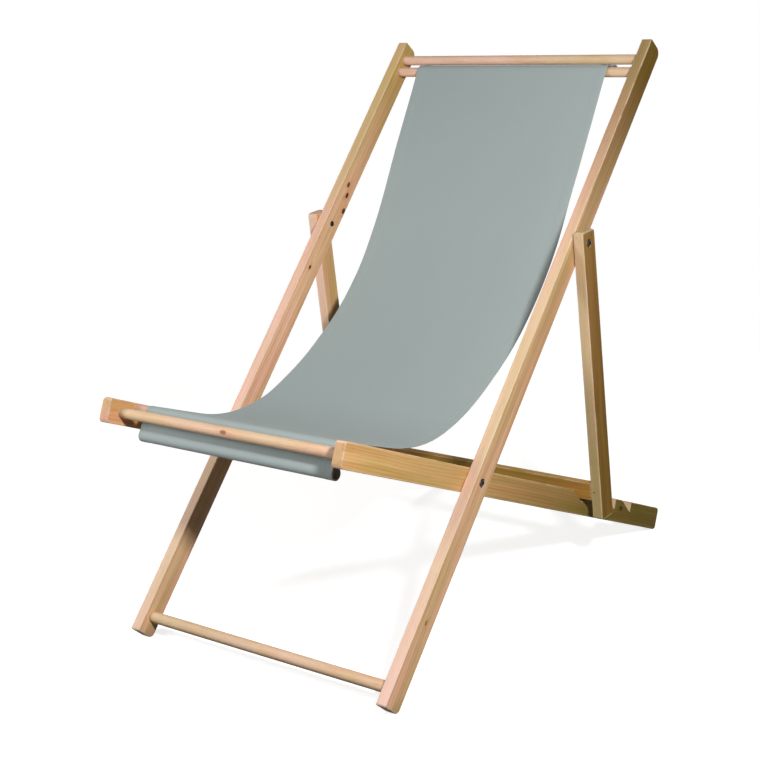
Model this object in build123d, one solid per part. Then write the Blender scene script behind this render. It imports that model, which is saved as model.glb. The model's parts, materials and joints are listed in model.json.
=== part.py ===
from build123d import *
from math import acos, asin, atan2, cos, degrees, hypot, pi, radians, sin, tan
import os

# Folding sling chair of wood and canvas, in millimetres.
# X runs across the chair, Y from front to back, Z up. Left and right are as seen from the front.
# The long rails lean back from the front feet to the head. The seat rails cross them at the seat
# pivot and slope down to the rear feet. Two legs hang from the prop pivots, and the bar between
# them rests in one pair of notches of the seat rails.

# Long rails
MAIN_LENGTH = 1260.0
MAIN_BELOW_PIVOT = 391.5
MAIN_DEPTH = 39.0
MAIN_LEAN = 46.1
OUTER_HALF_WIDTH = 284.0
BOARD = 20.0
HEAD_BACK_ROUND = 14.0
FOOT_ROUND = 9.0

# Seat rails
SEAT_LENGTH = 986.0
SEAT_AHEAD_OF_PIVOT = 336.0
SEAT_DEPTH = 42.0
SEAT_END_ROUND = 7.0
SEAT_GAP = 2.0

# Prop legs and the bar between them
PROP_PIVOT_UP_RAIL = 456.5
PROP_DEPTH = 37.0
PROP_GAP = 2.5
PROP_TO_HORIZONTAL = 87.35
PROP_ABOVE_PIVOT = 22.0
PROP_BELOW_PIVOT = 504.0
PROP_END_ROUND = 6.0
BAR_HEIGHT = 33.0
BAR_THICKNESS = 12.5
BAR_TOP_DOWN_LEG = 436.0
TENON_HEIGHT = 24.0
TENON_THICKNESS = 7.0

# Notches in the top edge of each seat rail, the foremost one holding the bar
NOTCHES = 4
NOTCH_PITCH = 60.0
NOTCH_DEPTH = 18.2
NOTCH_RAMP = 29.0
NOTCH_FLOOR = 3.0
BAR_CLEARANCE = 0.5

# Rungs: distance along the rail from the seat pivot, and offset towards the rail's front edge
FOOT_RUNG_AT = (-358.0, 0.0)
FOOT_RUNG_DIAMETER = 20.0
HEAD_RUNG_UPPER_AT = (836.0, 2.5)
HEAD_RUNG_LOWER_AT = (809.0, 1.5)
SEAT_RUNG_FRONT_AT = (-306.5, 0.5)
SEAT_RUNG_REAR_AT = (-274.0, 10.5)
RUNG_DIAMETER = 18.0
SOCKET_DEPTH = 12.0
FIT = 0.05

# Sling and the loose dowels in its two hem pockets
SLING_HEAD_HALF_WIDTH = 213.0
SLING_MIDDLE_HALF_WIDTH = 207.0
SLING_FRONT_HALF_WIDTH = 210.5
SLING_THICKNESS = 1.2
SLING_CLEARANCE = 0.3
FRONT_POCKET_AT = (-280.0, -29.5)
HEAD_POCKET_AT = (822.5, -13.2)
SLING_RISE_TO_FRONT = 22.8
SLING_FRONT_STRAIGHT = 115.0
SEAT_HOLLOW_RADIUS = 275.0
SEAT_HOLLOW_TURN = 40.5
BACK_HOLLOW_RADIUS = 620.0
POCKET_DOWEL_DIAMETER = 18.0
POCKET_DOWEL_LENGTH = 401.0

# Hardware
BOLT_DIAMETER = 8.0
BOLT_HEAD_DIAMETER = 14.0
BOLT_HEAD_HEIGHT = 4.2
BOLT_HEAD_PROUD = 1.2
RECESS_CLEARANCE = 0.7
HEX_SOCKET = 5.0
HEX_SOCKET_DEPTH = 2.4
HEAD_RIM = 0.8
HEAD_CROWN_RADIUS = 6.0
NUT_DIAMETER = 11.0
NUT_LENGTH = 10.0
NUT_SLOT_WIDTH = 1.6
NUT_SLOT_DEPTH = 1.2
NUT_BELOW_FACE = 0.3
SPACER_DIAMETER = 20.0
FACE_GAP = 0.25
PIN_DIAMETER = 2.4
PIN_LENGTH = 30.0
ARRIS = 1.5
FLOOR_FLAT = 0.8

LEFT, RIGHT = -1, 1
SIDES = {"left": LEFT, "right": RIGHT}
MAIN_INNER = OUTER_HALF_WIDTH - BOARD
SEAT_OUTER = MAIN_INNER - SEAT_GAP
SEAT_INNER = SEAT_OUTER - BOARD
PROP_INNER = OUTER_HALF_WIDTH + PROP_GAP
PROP_OUTER = PROP_INNER + BOARD


def foot_height():
    """Height of the seat pivot above the floor, from the rounded rear corner of a long rail's foot."""
    lean = radians(MAIN_LEAN)
    along = MAIN_BELOW_PIVOT - FOOT_ROUND
    behind = MAIN_DEPTH / 2 - FOOT_ROUND
    return along * sin(lean) + behind * cos(lean) + FOOT_ROUND - FLOOR_FLAT


def seat_slope():
    """Angle of the seat rails that brings their rounded rear corners to the same floor."""
    along = SEAT_LENGTH - SEAT_AHEAD_OF_PIVOT - SEAT_END_ROUND
    below = SEAT_DEPTH / 2 - SEAT_END_ROUND
    drop = foot_height() + FLOOR_FLAT - SEAT_END_ROUND
    return degrees(asin(drop / hypot(along, below)) - atan2(below, along))


def rail_plane(angle, origin=(0, 0, 0)):
    """Plane of a board's side: x along the board at an angle above +Y, y square to it, z across the chair."""
    a = radians(angle)
    return Plane(origin=origin, x_dir=(0, cos(a), sin(a)), z_dir=(1, 0, 0))


SEAT_SLOPE = seat_slope()
MAIN = rail_plane(MAIN_LEAN)
SEAT = rail_plane(-SEAT_SLOPE)
PROP = rail_plane(-PROP_TO_HORIZONTAL, MAIN.from_local_coords((PROP_PIVOT_UP_RAIL, 0, 0)))


def rod(plane, at, radius, x_from, x_to):
    """Round bar across the chair, placed by its centre in a board's plane."""
    return extrude(plane.offset(x_from) * (Pos(*at) * Circle(radius)), x_to - x_from)


def board(plane, outline, x_from, x_to):
    """Flat board of one outline with its long edges eased."""
    solid = extrude(plane.offset(x_from) * outline, x_to - x_from)
    faces = solid.faces().filter_by(Axis.X)
    return fillet(faces.edges(), ARRIS)


def strip(start, end, depth):
    """Straight board outline from one end to the other, centred on the board's axis."""
    return Pos((start + end) / 2, 0) * Rectangle(end - start, depth)


def corner(outline, at_end, at_front):
    """The one vertex at a given end and edge of a board's outline."""
    along = outline.vertices().sort_by(Axis.X)
    pair = along[-2:] if at_end else along[:2]
    return pair.sort_by(Axis.Y)[-1 if at_front else 0]


def round_corner(outline, at_end, at_front, radius):
    return fillet(corner(outline, at_end, at_front), radius)


def flat_on_floor(solid):
    """Takes off the worn sliver of a foot that lies below the floor."""
    size = MAIN_LENGTH * 2
    ground = Box(size, size, BOARD, align=(Align.CENTER, Align.CENTER, Align.MAX))
    return solid - Pos(0, 0, -foot_height()) * ground


def bolt_recess(plane, at, x_face, side):
    """Round pocket for a bolt head in the outer face of a board."""
    depth = BOLT_HEAD_HEIGHT - BOLT_HEAD_PROUD
    radius = BOLT_HEAD_DIAMETER / 2 + RECESS_CLEARANCE
    inner, outer = sorted((x_face - side * depth, x_face + side))
    return rod(plane, at, radius, inner, outer)


def bolt_hole(plane, at):
    return rod(plane, at, BOLT_DIAMETER / 2 + FIT, -PROP_OUTER - 1, PROP_OUTER + 1)


def pins(plane, stations, edge, inner, slack=0.0):
    """Headless pins from a board's rear edge through the rung or tenon ends, at given stations."""
    shaft = Cylinder(
        PIN_DIAMETER / 2 + slack, PIN_LENGTH, align=(Align.CENTER, Align.CENTER, Align.MAX)
    )
    middle = inner + SOCKET_DEPTH / 2
    places = [Pos(along, edge, x) for along in stations for x in (-middle, middle)]
    return [plane.location * place * Rot(90, 0, 0) * shaft for place in places]


MAIN_RUNGS = {
    "foot_rung": (FOOT_RUNG_AT, FOOT_RUNG_DIAMETER),
    "head_rung_upper": (HEAD_RUNG_UPPER_AT, RUNG_DIAMETER),
    "head_rung_lower": (HEAD_RUNG_LOWER_AT, RUNG_DIAMETER),
}
SEAT_RUNGS = {
    "seat_rung_front": (SEAT_RUNG_FRONT_AT, RUNG_DIAMETER),
    "seat_rung_rear": (SEAT_RUNG_REAR_AT, RUNG_DIAMETER),
}


def rungs(plane, places, inner):
    """Rungs of one frame, each glued into sockets of both rails."""
    reach = inner + SOCKET_DEPTH - FIT
    return {name: rod(plane, at, d / 2, -reach, reach) for name, (at, d) in places.items()}


def sockets(plane, places, inner):
    """Round sockets that the ends of those rungs fill."""
    reach = inner + SOCKET_DEPTH
    return [rod(plane, at, d / 2 + FIT, -reach, reach) for at, d in places.values()]


def rounded_strip(start, end, depth, radius):
    """Board outline with its four corners rounded alike."""
    outline = strip(start, end, depth)
    for at_end in (True, False):
        for at_front in (True, False):
            outline = round_corner(outline, at_end, at_front, radius)
    return outline


def main_outline():
    outline = strip(-MAIN_BELOW_PIVOT, MAIN_LENGTH - MAIN_BELOW_PIVOT, MAIN_DEPTH)
    outline = round_corner(outline, True, False, HEAD_BACK_ROUND)
    outline = round_corner(outline, True, True, 2 * ARRIS)
    outline = round_corner(outline, False, False, FOOT_ROUND)
    return round_corner(outline, False, True, 2 * ARRIS)


def notch_outline(rear):
    """One notch: a steep wall at the back, a short floor and a long ramp towards the front."""
    above_rail = SEAT_DEPTH / 2 + 5
    floor = SEAT_DEPTH / 2 - NOTCH_DEPTH
    ramp_foot = rear - NOTCH_FLOOR
    ramp_top = ramp_foot - (above_rail - floor) / tan(radians(NOTCH_RAMP))
    points = [(rear, above_rail), (rear, floor), (ramp_foot, floor), (ramp_top, above_rail)]
    return make_face(Polyline(*points, close=True))


def bar_corner(across_leg):
    """A lower edge of the bar, seen in the seat rail's plane, by its distance behind the leg's axis."""
    lower = PROP.from_local_coords((BAR_TOP_DOWN_LEG + BAR_HEIGHT, across_leg, 0))
    return SEAT.to_local_coords(lower)


BAR_FRONT = -PROP_DEPTH / 2
BAR_BACK = BAR_FRONT + BAR_THICKNESS
NOTCH_REAR = bar_corner(BAR_BACK).X + BAR_CLEARANCE
NOTCH_REARS = [NOTCH_REAR + NOTCH_PITCH * n for n in range(NOTCHES)]


def seat_outline():
    rear_end = SEAT_LENGTH - SEAT_AHEAD_OF_PIVOT
    outline = rounded_strip(-SEAT_AHEAD_OF_PIVOT, rear_end, SEAT_DEPTH, SEAT_END_ROUND)
    for rear in NOTCH_REARS:
        outline -= notch_outline(rear)
    return outline


def across_chair(plane, x_from, x_to, along, off):
    """Rectangular bar across the chair, from its ranges along and square to a board's axis."""
    outline = Pos(sum(along) / 2, sum(off) / 2) * Rectangle(along[1] - along[0], off[1] - off[0])
    return extrude(plane.offset(x_from) * outline, x_to - x_from)


def tenon(reach, slack):
    middle = BAR_TOP_DOWN_LEG + BAR_HEIGHT / 2
    centre = (BAR_FRONT + BAR_BACK) / 2
    along = (middle - TENON_HEIGHT / 2 - slack, middle + TENON_HEIGHT / 2 + slack)
    off = (centre - TENON_THICKNESS / 2 - slack, centre + TENON_THICKNESS / 2 + slack)
    return across_chair(PROP, -reach, reach, along, off)


def prop_bar():
    """Bar with its long edges eased and a stub tenon on each end."""
    along = (BAR_TOP_DOWN_LEG, BAR_TOP_DOWN_LEG + BAR_HEIGHT)
    body = across_chair(PROP, -PROP_INNER, PROP_INNER, along, (BAR_FRONT, BAR_BACK))
    body = fillet(body.edges().filter_by(Axis.X), ARRIS)
    return body + tenon(PROP_INNER + SOCKET_DEPTH - FIT, 0)


def pivot_plane(pivot, face, side):
    """Plane on one side of the chair at a pivot's axis, z pointing outwards."""
    return Plane(origin=(side * face, pivot.Y, pivot.Z), x_dir=(0, side, 0), z_dir=(side, 0, 0))


def spacer(pivot, outer_face, gap, side):
    """Flat washer between two boards."""
    flat = Circle(SPACER_DIAMETER / 2) - Circle(BOLT_DIAMETER / 2 + FIT)
    return extrude(pivot_plane(pivot, outer_face - FACE_GAP, side) * flat, -(gap - 2 * FACE_GAP))


def barrel_nut(pivot, inner_face, side):
    """Slotted sleeve nut set just below the inner face of a board."""
    flat = Circle(NUT_DIAMETER / 2) - Circle(BOLT_DIAMETER / 2 + FIT)
    plane = pivot_plane(pivot, inner_face + NUT_BELOW_FACE, side)
    slot = extrude(plane * Rectangle(NUT_DIAMETER + 1, NUT_SLOT_WIDTH), NUT_SLOT_DEPTH)
    return extrude(plane * flat, NUT_LENGTH) - slot


def nut_bore(pivot, inner_face, side):
    """Bore for that nut in a board."""
    plane = pivot_plane(pivot, inner_face - 1, side)
    return extrude(plane * Circle(NUT_DIAMETER / 2 + FIT), NUT_LENGTH + NUT_BELOW_FACE + 1)


def bolt(pivot, head_seat, tip, side):
    """Button-head bolt with a hexagon socket."""
    half = BOLT_HEAD_DIAMETER / 2
    crown = HEX_SOCKET / 2 + 1.0
    profile = make_face(
        [
            Line((0, 0), (half, 0)),
            Line((half, 0), (half, HEAD_RIM)),
            RadiusArc((half, HEAD_RIM), (crown, BOLT_HEAD_HEIGHT), -HEAD_CROWN_RADIUS),
            Line((crown, BOLT_HEAD_HEIGHT), (0, BOLT_HEAD_HEIGHT)),
            Line((0, BOLT_HEAD_HEIGHT), (0, 0)),
        ]
    )
    head = revolve(Plane.XZ * profile, Axis.Z)
    hexagon = RegularPolygon(HEX_SOCKET / 2, 6, major_radius=False)
    head -= extrude(Pos(0, 0, BOLT_HEAD_HEIGHT - HEX_SOCKET_DEPTH) * hexagon, HEX_SOCKET_DEPTH)
    shank = Cylinder(
        BOLT_DIAMETER / 2,
        head_seat - tip + HEAD_RIM,
        align=(Align.CENTER, Align.CENTER, Align.MAX),
    )
    return pivot_plane(pivot, head_seat, side).location * (head + Pos(0, 0, HEAD_RIM) * shank)


def pivot_hardware(name, pivot, outer_face, gap, inner_face):
    """Bolt, spacer in the gap and sleeve nut of one pivot, on both sides of the chair."""
    made = {}
    head_seat = outer_face - (BOLT_HEAD_HEIGHT - BOLT_HEAD_PROUD)
    tip = inner_face + NUT_BELOW_FACE + NUT_SLOT_DEPTH
    for label, side in SIDES.items():
        made[f"{name}_bolt_{label}"] = bolt(pivot, head_seat, tip, side)
        made[f"{name}_spacer_{label}"] = spacer(pivot, outer_face - BOARD, gap, side)
        made[f"{name}_nut_{label}"] = barrel_nut(pivot, inner_face, side)
    return made


def side_range(inner, outer, side):
    return sorted((side * inner, side * outer))


def pocket_dowel(plane, at):
    half = POCKET_DOWEL_LENGTH / 2
    return rod(plane, at, POCKET_DOWEL_DIAMETER / 2, -half, half)


def main_frame():
    made = rungs(MAIN, MAIN_RUNGS, MAIN_INNER)
    stations = [at[0] for at, _ in MAIN_RUNGS.values()]
    pin_holes = pins(MAIN, stations, -MAIN_DEPTH / 2, MAIN_INNER, FIT)
    bores = sockets(MAIN, MAIN_RUNGS, MAIN_INNER) + pin_holes
    bores += [bolt_hole(MAIN, (0, 0)), bolt_hole(MAIN, (PROP_PIVOT_UP_RAIL, 0))]
    for label, side in SIDES.items():
        rail = board(MAIN, main_outline(), *side_range(MAIN_INNER, OUTER_HALF_WIDTH, side))
        rail -= bores
        rail -= bolt_recess(MAIN, (0, 0), side * OUTER_HALF_WIDTH, side)
        rail -= nut_bore(PROP_PIVOT, MAIN_INNER, side)
        made[f"main_rail_{label}"] = flat_on_floor(rail)
    for name in MAIN_RUNGS:
        made[name] -= pin_holes
    made["main_rung_pins"] = Compound(pins(MAIN, stations, -MAIN_DEPTH / 2, MAIN_INNER))
    made["head_sling_dowel"] = pocket_dowel(MAIN, HEAD_POCKET_AT)
    return made


def seat_frame():
    made = rungs(SEAT, SEAT_RUNGS, SEAT_INNER)
    stations = [at[0] for at, _ in SEAT_RUNGS.values()]
    pin_holes = pins(SEAT, stations, -SEAT_DEPTH / 2, SEAT_INNER, FIT)
    bores = sockets(SEAT, SEAT_RUNGS, SEAT_INNER) + pin_holes
    bores.append(bolt_hole(SEAT, (0, 0)))
    for label, side in SIDES.items():
        rail = board(SEAT, seat_outline(), *side_range(SEAT_INNER, SEAT_OUTER, side))
        rail -= bores
        rail -= nut_bore(SEAT_PIVOT, SEAT_INNER, side)
        made[f"seat_rail_{label}"] = flat_on_floor(rail)
    for name in SEAT_RUNGS:
        made[name] -= pin_holes
    made["seat_rung_pins"] = Compound(pins(SEAT, stations, -SEAT_DEPTH / 2, SEAT_INNER))
    made["front_sling_dowel"] = pocket_dowel(SEAT, FRONT_POCKET_AT)
    return made


def prop_frame():
    made = {}
    stations = [BAR_TOP_DOWN_LEG + BAR_HEIGHT / 2]
    pin_holes = pins(PROP, stations, BAR_FRONT, PROP_INNER, FIT)
    bores = pin_holes + [tenon(PROP_INNER + SOCKET_DEPTH, FIT), bolt_hole(PROP, (0, 0))]
    outline = rounded_strip(-PROP_ABOVE_PIVOT, PROP_BELOW_PIVOT, PROP_DEPTH, PROP_END_ROUND)
    for label, side in SIDES.items():
        leg = board(PROP, outline, *side_range(PROP_INNER, PROP_OUTER, side))
        leg -= bores
        leg -= bolt_recess(PROP, (0, 0), side * PROP_OUTER, side)
        made[f"prop_leg_{label}"] = leg
    made["prop_crossbar"] = prop_bar() - pin_holes
    made["crossbar_pins"] = Compound(pins(PROP, stations, BAR_FRONT, PROP_INNER))
    return made


def unit(angle):
    return Vector(cos(angle), sin(angle))


def left_of(angle):
    return Vector(-sin(angle), cos(angle))


def side_view(plane, at):
    """A place in a board's plane as (Y, Z)."""
    world = plane.from_local_coords((at[0], at[1], 0))
    return Vector(world.Y, world.Z)


def heading(start, end):
    step = end - start
    return atan2(step.Y, step.X)


def arc_about(centre, radius, side, start_angle, end_angle):
    """Arc along a path whose direction turns from one angle to another, centre to its right or left."""
    points = [
        centre + left_of(start_angle + (end_angle - start_angle) * t) * (side * radius)
        for t in (0, 0.5, 1)
    ]
    return ThreePointArc(*points)


def sling_edges(shift):
    """Line of the canvas at a distance above its middle surface, from front pocket to head pocket."""
    wrap = SLING_WRAP + shift
    up = heading(FRONT_POCKET, SEAT_RUNG)
    down = -radians(SLING_RISE_TO_FRONT)
    level = down + radians(SEAT_HOLLOW_TURN)
    into_gap = heading(HEAD_RUNG, HEAD_POCKET)
    over_rung = SEAT_RUNG + left_of(down) * SLING_WRAP
    straight_end = over_rung + unit(down) * SLING_FRONT_STRAIGHT
    seat_centre = straight_end + left_of(down) * SEAT_HOLLOW_RADIUS
    back_centre = seat_centre + left_of(level) * (BACK_HOLLOW_RADIUS - SEAT_HOLLOW_RADIUS)
    away = back_centre - HEAD_RUNG
    steep = atan2(away.Y, away.X) - pi / 2 - acos((SLING_WRAP + BACK_HOLLOW_RADIUS) / away.length)
    return [
        Line(FRONT_POCKET + left_of(up) * wrap, SEAT_RUNG + left_of(up) * wrap),
        arc_about(SEAT_RUNG, wrap, RIGHT, up, down),
        Line(SEAT_RUNG + left_of(down) * wrap, straight_end + left_of(down) * shift),
        arc_about(seat_centre, SEAT_HOLLOW_RADIUS - shift, LEFT, down, level),
        arc_about(back_centre, BACK_HOLLOW_RADIUS - shift, LEFT, level, steep),
        Line(back_centre - left_of(steep) * (BACK_HOLLOW_RADIUS - shift), HEAD_RUNG + left_of(steep) * wrap),
        arc_about(HEAD_RUNG, wrap, RIGHT, steep, into_gap),
        Line(HEAD_RUNG + left_of(into_gap) * wrap, HEAD_POCKET + left_of(into_gap) * wrap),
    ]


def sling_plan():
    """Outline of the stretched canvas from above, drawn in along both sides, x towards the head."""
    chord = HEAD_RUNG - SEAT_RUNG
    past_rung = 60.0
    front, middle, head = -past_rung, chord.length / 2, chord.length + past_rung
    edges = [Line((head, SLING_HEAD_HALF_WIDTH), (head, -SLING_HEAD_HALF_WIDTH))]
    edges.append(Line((front, SLING_FRONT_HALF_WIDTH), (front, -SLING_FRONT_HALF_WIDTH)))
    for side in (LEFT, RIGHT):
        edges.append(
            ThreePointArc(
                (front, side * SLING_FRONT_HALF_WIDTH),
                (middle, side * SLING_MIDDLE_HALF_WIDTH),
                (head, side * SLING_HEAD_HALF_WIDTH),
            )
        )
    along = (0, chord.X / chord.length, chord.Y / chord.length)
    across = Vector(along).cross(Vector(1, 0, 0))
    plane = Plane(origin=(0, SEAT_RUNG.X, SEAT_RUNG.Y), x_dir=along, z_dir=across)
    return plane, make_face(edges)


def sling():
    """Canvas with a closed pocket round each dowel."""
    half = SLING_THICKNESS / 2
    upper = sling_edges(half)
    lower = sling_edges(-half)
    ends = [Line(lower[0] @ 0, upper[0] @ 0), Line(lower[-1] @ 1, upper[-1] @ 1)]
    profile = make_face(upper + lower + ends)
    for pocket in (FRONT_POCKET, HEAD_POCKET):
        profile += Pos(pocket.X, pocket.Y) * (Circle(SLING_WRAP + half) - Circle(SLING_WRAP - half))
    canvas = extrude(Plane.YZ * profile, SLING_HEAD_HALF_WIDTH, both=True)
    plane, outline = sling_plan()
    return canvas & extrude(plane * outline, SLING_HEAD_HALF_WIDTH * 3, both=True)


SEAT_PIVOT = Vector(0, 0, 0)
PROP_PIVOT = MAIN.from_local_coords((PROP_PIVOT_UP_RAIL, 0, 0))
SLING_WRAP = RUNG_DIAMETER / 2 + SLING_CLEARANCE + SLING_THICKNESS / 2
FRONT_POCKET = side_view(SEAT, FRONT_POCKET_AT)
SEAT_RUNG = side_view(SEAT, SEAT_RUNG_REAR_AT)
HEAD_RUNG = side_view(MAIN, HEAD_RUNG_LOWER_AT)
HEAD_POCKET = side_view(MAIN, HEAD_POCKET_AT)


def chair():
    """All pieces by name, about the seat pivot."""
    pieces = main_frame() | seat_frame() | prop_frame()
    pieces |= pivot_hardware("seat_pivot", SEAT_PIVOT, OUTER_HALF_WIDTH, SEAT_GAP, SEAT_INNER)
    pieces |= pivot_hardware("prop_pivot", PROP_PIVOT, PROP_OUTER, PROP_GAP, MAIN_INNER)
    pieces["sling"] = sling()
    return pieces


def stand_on_floor(pieces):
    """Moves the chair's seat pivot up so that the floor is z = 0 and its footprint is centred."""
    boxes = [piece.bounding_box() for piece in pieces.values()]
    front = min(box.min.Y for box in boxes)
    rear = max(box.max.Y for box in boxes)
    return Pos(0, -(front + rear) / 2, foot_height())


def place_in_metres(name, point, move):
    world = move.position + point
    print(f"{name} at {world.X / 1000:.6f} {world.Y / 1000:.6f} {world.Z / 1000:.6f}")


def main():
    pieces = chair()
    move = stand_on_floor(pieces)
    os.makedirs("parts", exist_ok=True)
    for name, piece in pieces.items():
        export_step(move * piece, f"parts/{name}.step")
    place_in_metres("seat pivot", SEAT_PIVOT, move)
    place_in_metres("prop pivot", PROP_PIVOT, move)
    pocket_length = 2 * pi * SLING_WRAP
    canvas_length = sum(edge.length for edge in sling_edges(0.0)) + 2 * pocket_length
    print(f"seat slope {SEAT_SLOPE:.2f} degrees, canvas cut {canvas_length:.0f} mm long")


main()
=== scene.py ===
# %% [markdown]
# # A folding deck chair
#
# The chair is three wooden frames and one length of canvas. The long rails lean back, the seat
# rails cross them, and two legs with a bar between them hold the whole thing open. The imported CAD
# model already has every board, rung, bolt and pin in its true place, so this script keeps those
# shapes. It gives them real surfaces, makes the canvas, and sets up the camera and the light.

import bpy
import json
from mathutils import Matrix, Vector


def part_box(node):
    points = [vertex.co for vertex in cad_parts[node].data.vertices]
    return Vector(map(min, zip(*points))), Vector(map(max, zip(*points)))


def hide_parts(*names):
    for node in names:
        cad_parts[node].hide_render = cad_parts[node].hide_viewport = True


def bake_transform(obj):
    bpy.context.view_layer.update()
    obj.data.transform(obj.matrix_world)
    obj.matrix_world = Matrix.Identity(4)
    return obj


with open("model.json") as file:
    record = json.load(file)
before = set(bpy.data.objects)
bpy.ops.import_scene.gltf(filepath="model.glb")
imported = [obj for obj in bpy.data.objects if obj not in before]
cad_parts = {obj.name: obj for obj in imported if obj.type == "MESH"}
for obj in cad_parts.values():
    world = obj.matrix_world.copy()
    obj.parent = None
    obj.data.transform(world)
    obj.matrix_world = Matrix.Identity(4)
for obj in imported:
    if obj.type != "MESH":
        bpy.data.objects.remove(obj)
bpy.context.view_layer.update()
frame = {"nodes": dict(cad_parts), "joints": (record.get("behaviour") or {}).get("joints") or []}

# %% [markdown]
# ## Where the frames are
#
# Wood grain runs along a board, so each finish has to know which way its board points. The long
# rails and the seat rails meet at the seat pivot, and the legs hang from the prop pivot. The line
# between the two pivots is the line of the long rails. The angles of the seat rails and the legs
# are the CAD model's own.

# %% Read the pivots and the directions of the boards
import bpy
import json
from math import acos, asin, atan2, cos, degrees, hypot, pi, radians, sin
from mathutils import Euler, Vector, noise

pivots = {joint["name"]: Vector(joint["pos_m"]) for joint in frame["joints"]}
SEAT_PIVOT = pivots["seat_fold"]
PROP_PIVOT = pivots["prop_fold"]
rail_step = PROP_PIVOT - SEAT_PIVOT
RAIL_ANGLE = atan2(rail_step.z, rail_step.y)
SEAT_ANGLE = -radians(25.05)
LEG_ANGLE = -radians(87.35)
print("long rails lean", round(degrees(RAIL_ANGLE), 2), "degrees above the floor")


def middle(node):
    """Middle of a piece's box."""
    low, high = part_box(node)
    return (low + high) / 2


# %% [markdown]
# ## The camera
#
# The straight rails of the chair gave the camera's place. A photographer stood in front and to
# the right, a little above the head of the chair, and tilted the camera slightly. A long lens
# keeps the rails nearly parallel. The turn is built in three steps, as a tripod head does it:
# pan, then tilt, then roll. The small function that adds the camera to the scene adds every
# other new object too.

# %% Stand the camera up
PAN = radians(39.939)
TILT = radians(16.403)
ROLL = radians(-4.704)


def put(name, data):
    """Adds an object to the scene."""
    made = bpy.data.objects.new(name, data)
    bpy.context.scene.collection.objects.link(made)
    return made


camera_data = bpy.data.cameras.new("camera")
camera = put("camera", camera_data)
bpy.context.scene.camera = camera
pan = Euler((0, 0, PAN)).to_matrix()
tilt = Euler((pi / 2 - TILT, 0, 0)).to_matrix()
roll = Euler((0, 0, ROLL)).to_matrix()
camera.matrix_world = (pan @ tilt @ roll).to_4x4()
camera.location = (1.72528, -2.10549, 1.19155)
camera_data.sensor_width = 36
camera_data.lens = 75.992
bpy.context.scene.view_settings.view_transform = "Standard"
print("camera at", tuple(round(v, 3) for v in camera.location))

# %% [markdown]
# ## Writing shader maths as plain sums
#
# A finish is a network of small nodes. Adding each Math node by hand hides the idea behind
# wiring, so a number that travels on a wire is wrapped in a small class. Then `1 - mask` or
# `rings * 0.4 + fibres` adds the nodes by itself.

# %% A number on a wire


class Wire:
    """An output socket. Sums and products of wires add Math nodes to the same network."""

    def __init__(self, network, socket):
        self.network = network
        self.socket = socket

    def __add__(self, other):
        return self.network.maths("ADD", self, other)

    def __sub__(self, other):
        return self.network.maths("SUBTRACT", self, other)

    def __mul__(self, other):
        return self.network.maths("MULTIPLY", self, other)

    def __radd__(self, other):
        return self.network.maths("ADD", other, self)

    def __rsub__(self, other):
        return self.network.maths("SUBTRACT", other, self)

    def __rmul__(self, other):
        return self.network.maths("MULTIPLY", other, self)

    def sibling(self, name):
        """Another output of the node that this wire comes from."""
        return Wire(self.network, self.socket.node.outputs[name])


print("sums of wires add nodes")

# %% [markdown]
# Every node comes from one method, which sets the node's own settings first and then fills or
# links its sockets. The methods below it are the few kinds that the finishes use often, each
# under a short name. The same class serves the materials and, later, the world.

# %% A network that holds the nodes


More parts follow.
